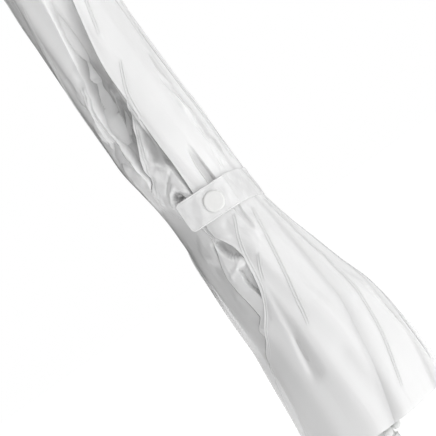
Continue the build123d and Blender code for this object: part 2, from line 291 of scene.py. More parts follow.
def crumple(psi, z):
    """Sharp-ridged facets, as of a film that has been creased in all directions."""
    across = np.radians(psi) * UNROLL_R
    out = np.zeros(np.shape(psi))
    for i in range(CRUMPLES):
        along = across * math.cos(crumple_turn[i]) + z * math.sin(crumple_turn[i])
        beat = (along / crumple_long[i] + crumple_phase[i]) % 1.0
        out += crumple_long[i] / CRUMPLE_LONG * (np.abs(2 * beat - 1) - 0.5)
    return out / math.sqrt(CRUMPLES)


def oval(down, across, strength):
    """A soft-rimmed oval patch, where down and across are shares of its half sizes."""
    return strength * (1 - smoothstep(down ** 2 + across ** 2, *OVAL_RIM))


def creases(psi, z):
    """Small folds of the film: pleats either side of the strap, slow waves and crumpling."""
    away = z - STRAP_Z
    out = np.zeros(np.shape(psi))
    for i in range(PLEATS):
        on_side = smoothstep(away * pleat_side[i], *PLEATS_FROM_STRAP)
        fade = np.exp(-np.abs(away) / pleat_long[i]) * on_side
        middle = pleat_psi[i] + pleat_lean[i] * away
        out += pleat_deep[i] * fade * np.exp(-(turn_from(psi, middle) / pleat_wide[i]) ** 2)
    wavy = smoothstep(np.abs(away), *WAVES_FROM_STRAP) * smoothstep(HINGE_Z - z, *WAVES_FROM_TOP)
    angle = np.radians(psi)
    for i in range(WAVES):
        turn = wave_count[i] * angle + wave_phase[i] + wave_drift[i] * z
        out += wavy * wave_tall[i] * np.sin(turn)
    mask = np.zeros(np.shape(psi))
    for middle_z, middle_psi, tall, wide, strength in CRUMPLED:
        patch = oval((z - middle_z) / tall, turn_from(psi, middle_psi) / wide, strength)
        mask = np.maximum(mask, patch)
    free = smoothstep(np.abs(away), *CRUMPLING_FROM_STRAP)
    facets = crumple(psi, z) + FINE_DEEP * crumple(FINE_CRUMPLES * psi, FINE_CRUMPLES * z)
    return out + CRUMPLE_DEEP * mask * free * facets


# ---------------------------------------------------------------- hollows
class Hollow:
    """A stretch of the bundle that dips towards the shaft, between a left and a right line.

    Deep gives its depth by height, and soft the width of its left and right slopes in degrees.
    Share gives how much of it the flaps named there follow, and the others follow it whole.
    """

    def __init__(self, left, right, deep, soft, share=None):
        self.left, self.right = smooth_curve(seen(left)), smooth_curve(seen(right))
        self.deep = smooth_curve(deep)
        self.low, self.high = min(z for z, _ in deep), max(z for z, _ in deep)
        self.soft = soft
        self.share = share or {}

    def depth(self, psi, z, flap):
        """Share of the film's depth by which it dips, from 0 to 1."""
        inside = (z > self.low) & (z < self.high)
        turned = turn_from(psi, 0)
        from_left = smoothstep(turned - self.left(z), 0, self.soft[0])
        from_right = smoothstep(self.right(z) - turned, 0, self.soft[1])
        return np.where(inside, self.deep(z) * from_left * from_right, 0) * self.share.get(flap, 1.0)


HOLLOWS = [
    # The valley on the left, above the strap.
    Hollow(
        [(272, -25.5), (293, -26), (310, -25.6), (325, -26), (345, -25), (372, -20), (430, -10)],
        [(272, -7.5), (310, -8), (345, -9), (372, -4), (430, 8)],
        [(272, 0), (279, 0.10), (293, 0.30), (310, 0.46), (330, 0.58), (372, 0.55), (430, 0)],
        (3.5, 5),
        {SIDE: 0.42, MAIN: 0},
    ),
    # The shadowed strip beside the main flap's edge.
    Hollow(
        [(270, -8.6), (276, -9), (285, -10.2), (299, -12), (316, -15), (326, -13)],
        [(270, -4), (326, -4)],
        [(270, 0.24), (285, 0.28), (305, 0.2), (326, 0)],
        (5, 3),
        {MAIN: 0},
    ),
    # The open end of the curled fold just above the strap.
    Hollow(
        [(272, -19.8), (276, -19.6), (279, -18.6), (281.5, -17.4)],
        [(272, -11.4), (276, -12.2), (279, -14), (281.5, -16.4)],
        [(272, 0.42), (278, 0.42), (280.5, 0.3), (281.5, 0)],
        (1.6, 1.6),
        {MAIN: 0},
    ),
    # The pointed fold above the snap.
    Hollow(
        [(270, 2.7), (285, 2.9), (296, 4.4), (301, 6.6)],
        [(270, 8.6), (285, 8.4), (296, 8.2), (301, 7.4)],
        [(270, 0.17), (285, 0.14), (296, 0.07), (301, 0)],
        (1.2, 3.2),
    ),
    # Two leaf-shaped openings below the strap.
    Hollow(
        [(230, -7.6), (236, -12.6), (242, -13.8), (245, -13.6)],
        [(230, -3), (245, -5)],
        [(230, 0), (232, 0.2), (238, 0.3), (243, 0.3), (245.5, 0)],
        (1.4, 1.4),
        {MAIN: 0},
    ),
    Hollow(
        [(203, -9.8), (209, -10.6), (217, -12.6), (221, -11.8), (226, -12.4)],
        [(203, -2), (226, -3)],
        [(203, 0), (206, 0.12), (214, 0.2), (223, 0.22), (226, 0)],
        (1.4, 1.4),
        {MAIN: 0},
    ),
    # A slit that runs up to the strap, and a shallow pleat right of the snap.
    Hollow(
        [(243, -13.7), (256, -13.7)],
        [(243, -12.6), (256, -12.5)],
        [(243, 0.3), (250, 0.4), (257, 0.4)],
        (1, 1),
        {MAIN: 0},
    ),
    Hollow(
        [(239, 7.4), (256, 6.6)],
        [(239, 10.4), (256, 11.2)],
        [(239, 0), (244, 0.06), (257, 0.09)],
        (1.4, 2),
    ),
    # The soft trough that runs down beside the lower seam.
    Hollow(
        [(150, -16), (175, -11.5), (208, -6.4)],
        [(150, -3), (175, -2), (208, -2)],
        [(150, 0.05), (178, 0.08), (200, 0.06), (212, 0)],
        (6, 8),
    ),
]


def hollow_depth(psi, z, flap):
    return np.max([hollow.depth(psi, z, flap) for hollow in HOLLOWS], axis=0)


# ---------------------------------------------------------------- ridges
# Raised folds (or grooves, where the height is negative): the flaps that have them, their line as
# seen from the front, height and half width.
RIDGES = [
    ((SIDE,), seen([(275, -20.8), (279, -20.6), (283, -18.2), (284.6, -15.4)]), 1.3, 1.0),
    ((SIDE,), seen([(279, -10.4), (282, -12.6), (284.6, -15.4)]), 1.1, 1.0),
    ((SIDE,), seen([(284, -21.6), (288, -18.8), (292.6, -11.6)]), -0.8, 0.6),
    ((SIDE,), seen([(297, -11.4), (301, -14), (304, -18.6)]), 0.9, 1.3),
    ((SIDE,), seen([(293, -13), (297, -16.4)]), 0.8, 1.0),
    ((SIDE,), seen([(306, -19), (320, -13.6)]), 0.5, 0.8),
    ((LEFT,), seen([(320.5, -19.2), (325, -19), (328, -16.4), (328, -13.4)]), 3.6, 1.0),
    ((LEFT,), seen([(305, -22.4), (317, -17.4)]), 2.2, 1.6),
    ((LEFT,), seen([(318, -24.6), (332, -22), (352, -17)]), 1.6, 0.8),
    ((LEFT,), seen([(336, -21), (356, -13.6)]), 1.2, 0.7),
    ((LEFT,), seen([(324, -31), (341, -28.2), (360, -25.2)]), 0.8, 0.5),
    ((LEFT,), seen([(333, -30), (345, -27.4), (360, -23.6)]), 0.9, 0.5),
    ((LEFT,), seen([(300, -30.4), (330, -30.8)]), 0.35, 0.8),
    ((LEFT,), seen([(180, -26), (215, -25), (246, -23.5)]), 0.22, 1.6),
    ((SIDE,), seen([(244, -13.4), (232, -16), (222, -17)]), 0.35, 0.9),
    ((SIDE,), seen([(229, -8), (226, -12.4), (224.4, -17)]), 0.6, 0.8),
    ((MAIN,), seen([(244, -5), (250, -9.5)]), 0.5, 1.2),
    ((MAIN,), seen([(160, 8), (190, 5), (228, 2)]), 0.7, 3.6),
    ((MAIN, RIGHT), seen([(331, 19.2), (336, 20), (343, 18.8), (356, 19.4)]), -0.6, 0.5),
    ((MAIN, RIGHT), seen([(309, 18.2), (313, 19.8), (318, 18.6), (326, 19.6)]), 0.6, 0.5),
    ((MAIN, RIGHT), seen([(285, 20.4), (291, 21.6), (299, 18.4), (304, 19), (309, 17)]), 0.6, 0.5),
    ((MAIN, RIGHT), seen([(278, 20.4), (284, 18.6), (294, 19.6)]), -0.5, 0.6),
    ((MAIN,), seen([(276, 13), (284, 16), (296, 17.6)]), 0.35, 0.6),
    ((MAIN,), seen([(276, 16.6), (284, 18)]), 0.3, 0.5),
    ((MAIN,), seen([(241, 12), (253, 10.8)]), 0.35, 0.6),
    ((MAIN,), seen([(232, 7.4), (246, 13.2)]), 0.2, 0.9),
    ((RIGHT,), seen([(175, 33), (192, 31.4), (209, 29.6)]), 0.3, 0.7),
    ((RIGHT,), seen([(172, 38), (186, 36), (203, 33)]), 0.3, 0.7),
    ((RIGHT,), seen([(216, 28.8), (238, 25.6)]), 0.25, 0.8),
]


def distance_to(line, across, z):
    """Distance from a line of (height, psi) points, with the bundle laid out flat."""
    best = np.full(np.shape(across), 1e9)
    flat = [(math.radians(psi) * UNROLL_R, height) for height, psi in line]
    for (x0, z0), (x1, z1) in zip(flat, flat[1:]):
        dx, dz = x1 - x0, z1 - z0
        t = np.clip(((across - x0) * dx + (z - z0) * dz) / (dx * dx + dz * dz), 0, 1)
        best = np.minimum(best, np.hypot(across - x0 - t * dx, z - z0 - t * dz))
    return best


def ridges(psi, z, flap):
    across = np.radians(turn_from(psi, 0)) * UNROLL_R
    out = np.zeros(np.shape(psi))
    for flaps, line, height, half_wide in RIDGES:
        if flap in flaps:
            out += height * np.exp(-(distance_to(line, across, z) / half_wide) ** 2)
    return out


# ---------------------------------------------------------------- painted shade
HOLLOW_PAINTED_SHADE = 0.35            # painted shade: the film is coloured this much darker in a hollow
HOLLOW_FULL = 0.5              # that is at least this deep
COVERED_PAINTED_SHADE = 0.2            # and this much darker under another layer, also painted shade
# Seams are painted at the film's full light colour (values above 1 clip to it) and get none of the painted
# shade, so they show as light lines.
SEAM_PAINTED_LIGHT = 1.1
# Patches of painted shade, where the film is coloured darker to stand for dark openings behind it, folds
# and the shade on the bundle's left side: their flaps, height, x as seen from the front, half height,
# half width and how much darker it is painted.
PAINTED_SHADE_PATCHES = [
    ((LEFT,), 345, -18.5, 34, 8.5, 0.52),
    ((LEFT,), 212, -30.0, 85, 26, 0.42),
    ((LEFT,), 330, -33.3, 70, 9, 0.42),
    ((LEFT,), 286, -29.0, 26, 8.0, 0.38),
    ((LEFT,), 335, -24.5, 34, 2.6, 0.16),
    ((LEFT,), 320, -15.6, 2.6, 3.4, 0.5),
    ((SIDE,), 308, -10.5, 15, 6.0, 0.68),
    ((SIDE,), 289, -13.0, 5, 5.5, 0.16),
    ((SIDE,), 278.6, -15.6, 2.6, 4.6, 0.7),
    ((SIDE, LEFT), 241, -10.6, 7, 3.6, 0.15),
    ((MAIN, RIGHT), 347, 19.2, 12, 1.2, 0.22),
    ((MAIN, RIGHT), 331, 17.4, 8, 2.2, 0.12),
    ((MAIN, RIGHT), 317, 19.0, 7, 1.4, 0.22),
    ((MAIN, RIGHT), 304, 19.4, 9, 2.6, 0.14),
    ((MAIN, RIGHT), 290, 20.6, 7, 1.4, 0.2),
    ((MAIN,), 283, 13.6, 10, 1.2, 0.08),
    ((MAIN,), 246, 9.2, 9, 1.8, 0.1),
    ((MAIN,), 282, 6.2, 15, 2.6, 0.38),
]


# Painted shade from the patches: how much darker the film is coloured at each point.
def painted_patch_shade(flap, psi, z):
    out = np.zeros(np.shape(psi))
    for flaps, middle_z, x, tall, wide, strength in PAINTED_SHADE_PATCHES:
        if flap not in flaps:
            continue
        middle_psi = seen([(middle_z, x)])[0][1]
        across = np.radians(turn_from(psi, middle_psi)) * UNROLL_R
        out = np.maximum(out, oval((z - middle_z) / tall, across / wide, strength))
    return out


def film_painted_shade(flap, psi, z, covered):
    """Painted shade: how light the film's colour is made, from 0 to 1, darker in hollows, under layers and
    in patches.
    """
    hollow = np.clip(hollow_depth(psi, z, flap) / HOLLOW_FULL, 0, 1)
    return 1 - HOLLOW_PAINTED_SHADE * hollow - COVERED_PAINTED_SHADE * covered - painted_patch_shade(flap, psi, z)


# ---------------------------------------------------------------- flaps
EDGE_BEAD = {LEFT: 0.2, SIDE: 0.3, MAIN: 0.42, RIGHT: 0.05}    # how proud each folded edge is
OTHER_BEAD = 0.1
EDGE_BEAD_WIDE = 2.0           # in degrees
BEAD_SPLIT = 0.3               # this share of a bead lowers the inner layer, the rest lifts the outer
# How far each folded edge drops onto the flap below it, as a share of the gap between them.
# Above 1 it goes under, so that no dark slit shows between the two.
EDGE_TUCK = {SIDE: 0.4, MAIN: 0.0}
OTHER_TUCK = 1.4
TUCK_WIDE = 7.0                # in degrees
BURIED_DROP = 0.6              # covered layers lie this much deeper,
INNER_DROP = 1.6               # and a flap's inner layer, which has fewer points, deeper still
UNDER_NEXT = (2, 12)           # degrees from the next flap's edge over which a layer gets covered
UNDER_ITSELF = (0, 12)         # and from its own edge, for an inner layer
INNER_FROM = (4, 26)           # degrees from its own edge over which the inner layer drops
FULL_DROP_ROOM = 5.0           # layers nearer to the core than this drop less,
FULL_CREASE_ROOM = 12.0        # and where the film is thinner than this, creases are shallower

SEEN_SPAN = {LEFT: 70, SIDE: 76, MAIN: 84, RIGHT: 70}  # finely divided part of the outer layer
OTHER_SPAN = 66                                        # in degrees back from the edge
FINE_STEP = 0.8                # in degrees
FAR_COLUMNS = 20
INNER_SHARES = np.concatenate([np.linspace(0, 0.9, 20), np.linspace(0.91, 1, 10)])
EDGE_HEIGHTS = np.arange(200, 340)     # where a flap's mean edge is taken


def rows_of_film():
    """Heights of the film's rows: close together where the camera is near."""
    low = np.arange(HEM_Z, NEAR_LOW, LOW_STEP)
    near = np.arange(NEAR_LOW, NEAR_HIGH, NEAR_STEP)
    high = np.linspace(NEAR_HIGH, FILM_TOP, HIGH_ROWS)
    return np.concatenate([low, near, high])


def film_radius(flap, psi, z, share):
    """Radius of a layer of a flap, where share runs from 0 at the core to 1 at the fold edge."""
    outer = bundle_radius(z)
    depth = 1 - (1 - share) ** SPIRAL_POWER
    edge = edge_curves[flap](z)
    root_below = FIRST_ROOT + RIB_STEP * flap
    edge_below = edge_curves[flap - 1](z) - (360 if flap == 0 else 0)
    share_below = np.clip((root_below - psi) / (root_below - edge_below), 0, 1)
    drop = depth - 1 + (1 - share_below) ** SPIRAL_POWER
    near_edge = np.exp(-((psi - edge) / TUCK_WIDE) ** 2)
    depth = depth - EDGE_TUCK.get(flap, OTHER_TUCK) * near_edge * np.maximum(drop, 0)
    radius = CORE_R + (outer - CORE_R) * depth
    radius = CORE_R + (radius - CORE_R) * (1 - hollow_depth(psi, z, flap))
    room = np.clip((outer - CORE_R) / FULL_CREASE_ROOM, 0, 1)
    return radius + (creases(psi, z) + ridges(psi, z, flap)) * depth * room


def edge_bead(flap, from_edge):
    return EDGE_BEAD.get(flap, OTHER_BEAD) * np.exp(-(from_edge / EDGE_BEAD_WIDE) ** 2)


def outer_shares(flap):
    """Shares of a flap's outer layer, from its edge back to its rib, close together near the edge."""
    span = FIRST_ROOT + RIB_STEP * (flap + 1) - float(np.mean(edge_curves[flap](EDGE_HEIGHTS)))
    close = np.arange(0, SEEN_SPAN.get(flap, OTHER_SPAN), FINE_STEP) / span
    return 1 - np.concatenate([close[1:], np.linspace(close[-1], 1, FAR_COLUMNS)[1:]])


def flap_columns(flap):
    """Shares across a flap, out to its fold edge and back, and a 0 for out or a 1 for back."""
    outer = outer_shares(flap)
    share = np.concatenate([INNER_SHARES, outer])[None, :]
    back = np.concatenate([np.zeros(len(INNER_SHARES)), np.ones(len(outer))])[None, :]
    return share, back


def covered_share(flap, psi, z, from_edge, back):
    """How far a layer lies under the next flap, or under its own outer layer, from 0 to 1."""
    full_turn = 360 if flap == FLAPS - 1 else 0
    edge_above = edge_curves[(flap + 1) % FLAPS](z)[:, None] + full_turn
    under_next = smoothstep(psi - edge_above, *UNDER_NEXT)
    return np.where(back > 0.5, under_next, smoothstep(from_edge, *UNDER_ITSELF))


def flap_sheet(flap):
    """Grid of one flap in (psi, z, radius), out from its rib to the fold edge and back, with its painted
    shade.
    """
    z = rows_of_film()
    share, back = flap_columns(flap)
    edge = edge_curves[flap](z)[:, None]
    start = FIRST_ROOT + RIB_STEP * (flap + back)
    psi = start + (edge - start) * share
    height = np.broadcast_to(z[:, None], psi.shape)
    radius = film_radius(flap, psi, height, np.broadcast_to(share, psi.shape))
    from_edge = psi - edge
    radius = radius + edge_bead(flap, from_edge) * (back - BEAD_SPLIT)
    covered = covered_share(flap, psi, z, from_edge, back)
    drop = BURIED_DROP * covered + INNER_DROP * (1 - back) * smoothstep(from_edge, *INNER_FROM)
    radius = radius - drop * np.clip((radius - CORE_R) / FULL_DROP_ROOM, 0, 1)
    return psi, height, radius, film_painted_shade(flap, psi, height, covered)


# ---------------------------------------------------------------- seams
SEAM_FADE = 6.0                # length over which a seam rises at its ends
SEAM_END = 0.3                 # and the share of its height that it has there
# Two beads and the dips beside them, as distance from the seam's middle and height.
SEAM_SECTION = [
    (-1.3, 0.08), (-0.8, 0.42), (-0.4, 0.1), (0, 0.05), (0.4, 0.1), (0.8, 0.42), (1.3, 0.08),
]
# Welded seams: the flap that carries them and their line, as height and psi.
SEAMS = [
    (SIDE, seen([(281, -26.2), (293, -24.2), (332, -10.2), (341, -5.4), (355, 1.2)])),
    (MAIN, seen([
        (173, -26.6), (186, -19.6), (197, -12.8), (208, -7.2), (217, -5.2), (229, -3.6), (240, -0.6),
        (248, 3), (253, 5),
    ])),
    (MAIN, seen([(178, 2.8), (197, 6.8), (220, 11.3), (240, 14.7), (250, 16)])),
    (MAIN, seen([(212, -3.4), (217, -1.7), (222, 0.6), (227, 3)])),
    (MAIN, seen([(327, -6), (341, -4.6), (355, 0.6), (362, 4)])),
    (LEFT, [(290, -98), (355, -80), (420, -48)]),
    (LEFT, [(160, -104), (220, -90), (250, -84)]),
    (RIGHT, [(120, 24), (175, 48), (220, 62), (250, 68)]),
    (RIGHT, [(280, 66), (355, 74), (500, 128), (640, 175)]),
    (4, [(120, 66), (220, 102), (250, 108)]),
    (4, [(280, 112), (400, 140), (560, 205), (660, 240)]),
    (5, [(120, 116), (250, 152)]),
    (5, [(280, 160), (400, 184), (600, 262)]),
    (6, [(120, 160), (250, 196)]),
    (6, [(280, 200), (400, 226), (600, 305)]),
    (7, [(120, 196), (250, 232)]),
    (7, [(280, 238), (400, 262), (600, 345)]),
    (MAIN, [(380, 14), (500, 76), (640, 140)]),
]


def seam_sheet(flap, line):
    """Ribbon with two raised beads that lies on a flap's outer layer."""
    low, high = min(line)[0], max(line)[0]
    z = np.arange(low, high, NEAR_STEP)
    across, raised = np.array(SEAM_SECTION, float).T[:, None, :]
    per_mm = np.degrees(1 / bundle_radius(z))[:, None]
    psi = smooth_curve(line)(z)[:, None] + across * per_mm
    height = np.broadcast_to(z[:, None], psi.shape)
    root = FIRST_ROOT + RIB_STEP * (flap + 1)
    edge = edge_curves[flap](z)[:, None]
    share = np.clip((root - psi) / (root - edge), 0, 1)
    risen = smoothstep(z, low, low + SEAM_FADE) * (1 - smoothstep(z, high - SEAM_FADE, high))
    bead = raised * (SEAM_END + (1 - SEAM_END) * risen[:, None])
    radius = film_radius(flap, psi, height, share) + bead + edge_bead(flap, psi - edge)
    # The seam is painted light: the film's full light colour, with no painted shade.
    return psi, height, radius, np.full(psi.shape, SEAM_PAINTED_LIGHT)


def grid_faces(rows, columns):
    at = np.arange(rows * columns).reshape(rows, columns)
    quads = np.stack([at[:-1, :-1], at[:-1, 1:], at[1:, 1:], at[1:, :-1]], axis=-1)
    return quads.reshape(-1, 4)


def cut_at_ribs(sheet):
    """Cuts a sheet, laid out flat in (psi, z, radius), along every rib's psi."""
    psi, height, radius, shade = sheet
    bm = bmesh.new()
    layer = bm.verts.layers.float.new("shade")
    made = []
    for p, z, r, s in zip(psi.ravel(), height.ravel(), radius.ravel(), shade.ravel()):
        vert = bm.verts.new((p, z, r))
        vert[layer] = s
        made.append(vert)
    for quad in grid_faces(*psi.shape):
        bm.faces.new([made[i] for i in quad])
    first = math.ceil((psi.min() - FIRST_RIB_PSI) / RIB_STEP)
    last = math.floor((psi.max() - FIRST_RIB_PSI) / RIB_STEP)
    for i in range(first, last + 1):
        everything = bm.verts[:] + bm.edges[:] + bm.faces[:]
        plane = (FIRST_RIB_PSI + RIB_STEP * i, 0, 0)
        bmesh.ops.bisect_plane(bm, geom=everything, dist=1e-4, plane_co=plane, plane_no=(1, 0, 0))
    bm.verts.index_update()
    points = np.array([v.co[:] for v in bm.verts])
    shades = np.array([v[layer] for v in bm.verts])
    faces = [[v.index for v in f.verts] for f in bm.faces]
    bm.free()
    return points, shades, faces


def round_the_shaft(points):
    """Flat (psi, z, radius) points to places in the row frame, in millimetres."""
    psi, z, radius = np.radians(points[:, 0]), points[:, 1], points[:, 2]
    outer = bundle_radius(z)
    shift = bundle_shift(z) * np.clip((radius - CORE_R) / (outer - CORE_R), 0, 1)
    return np.stack([shift + radius * np.sin(psi), -radius * np.cos(psi), z], axis=1)


def vertex_normals(places, faces):
    normals = np.zeros_like(places)
    for size in (3, 4, 5, 6):
        some = np.array([f for f in faces if len(f) == size], int)
        if not len(some):
            continue
        total = np.zeros((len(some), 3))
        for i in range(size):
            total += np.cross(places[some[:, i]], places[some[:, (i + 1) % size]])
        for i in range(size):
            np.add.at(normals, some[:, i], total)
    return normals / np.maximum(np.linalg.norm(normals, axis=1, keepdims=True), 1e-9)


def film_sheets():
    return [flap_sheet(k) for k in range(FLAPS)] + [seam_sheet(flap, line) for flap, line in SEAMS]


def add_to_gores(gores, sheet):
    """Cuts a sheet at the ribs and adds each part to the gore it belongs to."""
    points, shades, faces = cut_at_ribs(sheet)
    places = round_the_shaft(points)
    normals = vertex_normals(places, faces)
    middles = [sum(points[i, 0] for i in f) / len(f) for f in faces]
    sector = np.array([math.floor((psi - FIRST_RIB_PSI) / RIB_STEP) for psi in middles])
    for number in np.unique(sector):
        gore = gores[number % GORES]
        chosen = [faces[i] for i in np.flatnonzero(sector == number)]
        used = sorted({i for f in chosen for i in f})
        start = sum(len(p) for p in gore["places"])
        new = {old: start + i for i, old in enumerate(used)}
        gore["places"].append(places[used])
        gore["normals"].append(normals[used])
        gore["shade"].append(shades[used])
        low = FIRST_RIB_PSI + RIB_STEP * number
        gore["share"].append((points[used, 0] - low) / RIB_STEP)
        gore["faces"] += [[new[i] for i in f] for f in chosen]


def gather_gores():
    keys = ("places", "faces", "shade", "normals", "share")
    gores = [{key: [] for key in keys} for _ in range(GORES)]
    for sheet in film_sheets():
        add_to_gores(gores, sheet)
    return gores


def new_mesh(name, places, faces, shade):
    """Smooth mesh from places in millimetres, with a painted shade for every point."""
    mesh = bpy.data.meshes.new(name)
    mesh.from_pydata((places * MM).tolist(), [], faces)
    mesh.polygons.foreach_set("use_smooth", [True] * len(mesh.polygons))
    # The shade attribute holds painted shade, which the film's material turns into darker colour.
    layer = mesh.attributes.new("shade", "FLOAT", "POINT")
    layer.data.foreach_set("value", shade.astype(np.float32))
    return mesh


def on_core(psi):
    """Place on the core, level with the strap, in metres."""
    a = math.radians(psi)
    return (CORE_R * MM * math.sin(a), -CORE_R * MM * math.cos(a), STRAP_Z * MM)


def make_gore(number, gore, material):
    """One gore of the film, which fans out between its rib and the next one."""
    shade = np.concatenate(gore["shade"])
    mesh = new_mesh(f"canopy_gore_{number}", np.concatenate(gore["places"]), gore["faces"], shade)
    mesh.normals_split_custom_set_from_vertices(np.concatenate(gore["normals"]).tolist())
    mesh.materials.append(material)
    piece = add_object(f"canopy_gore_{number}", mesh)
    middle = FIRST_RIB_PSI + RIB_STEP * (number - 0.5)
    ends = [on_core(middle - RIB_STEP / 2), on_core(middle + RIB_STEP / 2)]
    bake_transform(piece, f"rib_{number}", f"gore_{number}", start=ends[0], end=ends[1])
    # A gore fans about the shaft, so its share of each rib goes by angle and not along a line.
    share = np.clip(np.concatenate(gore["share"]), 0, 1).astype(np.float32)
    mesh.attributes["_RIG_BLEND"].data.foreach_set("value", share)
    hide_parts(f"gore_{number}")


# ---------------------------------------------------------------- the strap
STRAP_THICK = 0.5
STRAP_CLEAR = 0.42             # middle of the strap's thickness above the film
STRAP_LAST_PSI = 249.0         # the strap goes under the left flap's edge here
STRAP_DROP = 4.0               # how much lower the strap lies at the back than at the snap
STRAP_DROP_PSI = (20, 92)      # where it gets lower
STRAP_HUG_PSI = (30, 62)       # and where it starts to follow the bundle's flare
TAB_RISE = 1.3                 # how much higher the strap's free end is
TAB_CORNER, BAND_CORNER = 2.6, 0.1
STRAP_CRUMPLE, CRUMPLE_FINER = 0.45, 2.6
STRAP_RIM = 0.8                # share of the half width beyond which columns are close together
EDGE_ROUND, EDGE_ROUND_WIDE = 0.22, 0.35
RIM_BEADS = [(0.5, 0.26), (1.7, 0.12)]     # distance from the edge and height
RIM_BEAD_WIDE = 0.3
# The free end seen from above. It starts where the strap begins to peel off.
STRAP_TAB_PATH = [(12.0, -28.2), (9.5, -29.5), (6.0, -30.2), (-6.5, -30.2), (-12, -29.4), (-20.2, -26.6)]
STRAP_HINGE = STRAP_TAB_PATH[0]
PATH_STEP, RING_STEP = 0.45, 2.0           # in millimetres, and in degrees
LEAD_POINTS = 12


def resample(points, step):
    """Points a step apart along a smooth line through the given points."""
    points = np.array(points, float)
    reach = np.concatenate([[0], np.cumsum(np.hypot(*np.diff(points, axis=0).T))])
    at = np.linspace(0, reach[-1], max(3, int(reach[-1] / step) + 1))
    x = smooth_curve(list(zip(reach, points[:, 0])))(at)
    y = smooth_curve(list(zip(reach, points[:, 1])))(at)
    return np.stack([x, y], axis=1)


def band_path():
    """The band seen from above, from the strap's end round the right and the back."""
    centre = float(bundle_shift(STRAP_Z))
    radius = float(bundle_radius(STRAP_Z)) + STRAP_CLEAR
    reach = math.hypot(STRAP_HINGE[0] - centre, STRAP_HINGE[1])
    lean = math.atan2(STRAP_HINGE[0] - centre, -STRAP_HINGE[1])
    first = math.degrees(lean + math.acos(radius / reach))
    psi = np.radians(np.arange(first, STRAP_LAST_PSI, RING_STEP))
    ring = np.stack([centre + radius * np.sin(psi), -radius * np.cos(psi)], axis=1)
    lead = np.linspace(STRAP_HINGE, ring[0], LEAD_POINTS)[:-1]
    return np.concatenate([lead, ring])


def welded_rim(from_edge):
    """Height of the beads that run along a strap's welded edge."""
    return sum(height * np.exp(-((from_edge - at) / RIM_BEAD_WIDE) ** 2) for at, height in RIM_BEADS)


def outward_of(path):
    """Unit vectors square to a path, pointing away from the shaft."""
    ahead = np.gradient(path, axis=0)
    ahead /= np.linalg.norm(ahead, axis=1, keepdims=True)
    outward = np.stack([ahead[:, 1], -ahead[:, 0]], axis=1)
    return -outward if np.sum(outward * path) < 0 else outward


def strap_across(left, corner):
    """Offsets across a strap, given the length left to its end, and distances from its edge."""
    round_off = np.clip(corner - left, 0, corner)
    half = STRAP_WIDE / 2 - corner + np.sqrt(corner ** 2 - round_off ** 2)
    inner = np.linspace(-STRAP_RIM, STRAP_RIM, 17)[1:-1]
    columns = np.concatenate([np.linspace(-1, -STRAP_RIM, 9), inner, np.linspace(STRAP_RIM, 1, 9)])
    across = half[:, None] * columns[None, :]
    side = STRAP_WIDE / 2 - np.abs(across)
    in_corner = corner - np.hypot(np.maximum(corner - side, 0), round_off[:, None])
    return across, np.minimum(side, np.minimum(left[:, None], in_corner))


def strap_grid(path, sag, hug, corner):
    """Outer and inner face of a thin strap along a path seen from above, as rows of places."""
    reach = np.concatenate([[0], np.cumsum(np.hypot(*np.diff(path, axis=0).T))])
    outward = outward_of(path)
    across, from_edge = strap_across(reach[-1] - reach, corner)
    turned = np.degrees(CRUMPLE_FINER * reach / UNROLL_R)[:, None] + 0 * across
    ripple = STRAP_CRUMPLE * crumple(turned, CRUMPLE_FINER * across)
    edge_round = EDGE_ROUND * (1 - smoothstep(from_edge, 0, EDGE_ROUND_WIDE))
    face_out = STRAP_THICK / 2 + welded_rim(from_edge) - edge_round + ripple
    face_in = -STRAP_THICK / 2 + edge_round + ripple
    z = STRAP_Z + across + sag[:, None]
    lift = hug[:, None] * (bundle_radius(z) - bundle_radius(STRAP_Z))
    grids = []
    for height in (face_out, face_in):
        place = path[:, None, :] + outward[:, None, :] * (height + lift)[:, :, None]
        grids.append(np.concatenate([place, z[:, :, None]], axis=2))
    return grids


def closed_faces(rows, columns):
    """Faces of an outer grid, an inner grid and the wall that joins them all round."""
    count = rows * columns
    front = grid_faces(rows, columns)
    back = front[:, ::-1] + count
    at = np.arange(count).reshape(rows, columns)
    loop = np.concatenate([at[0, :-1], at[:-1, -1], at[-1, :0:-1], at[:0:-1, 0]])
    after = np.roll(loop, -1)
    wall = np.stack([loop, loop + count, after + count, after], axis=1)
    return np.concatenate([front, back, wall]).tolist()


def face_outwards(mesh):
    bm = bmesh.new()
    bm.from_mesh(mesh)
    bmesh.ops.recalc_face_normals(bm, faces=bm.faces[:])
    bm.to_mesh(mesh)
    bm.free()


def make_strap(name, path, sag, hug, corner):
    """Piece for a strap along a path, lowered by sag, that follows the bundle's flare by hug."""
    outer, inner = strap_grid(path, sag, hug, corner)
    places = np.concatenate([outer.reshape(-1, 3), inner.reshape(-1, 3)])
    mesh = new_mesh(name, places, closed_faces(*outer.shape[:2]), np.ones(len(places)))
    face_outwards(mesh)
    mesh.materials.append(strap_film)
    piece = add_object(name, mesh)
    return piece


def make_straps():
    path = band_path()
    turned = np.degrees(np.arctan2(path[:, 0], -path[:, 1])) % 360
    sag = -STRAP_DROP * smoothstep(turned, *STRAP_DROP_PSI)
    hug = smoothstep(turned, *STRAP_HUG_PSI)
    band = make_strap("strap_wrap", path, sag, hug, BAND_CORNER)
    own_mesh(band)
    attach(band, "gore_1")
    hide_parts("strap_band")
    tab_path = resample(STRAP_TAB_PATH, PATH_STEP)
    level = np.zeros(len(tab_path))
    rise = TAB_RISE * np.linspace(0, 1, len(tab_path))
    tab = make_strap("strap_tab_film", tab_path, rise, level, TAB_CORNER)
    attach(tab, "strap_tab")
    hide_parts("strap_end")


# ---------------------------------------------------------------- materials
DARKEST_PAINTED_SHADE = 0.2            # film painted this shade, or less, is painted as dark as it gets
FILM_STRETCH = (1.0, 1.0, 0.25)    # its grain runs up and down


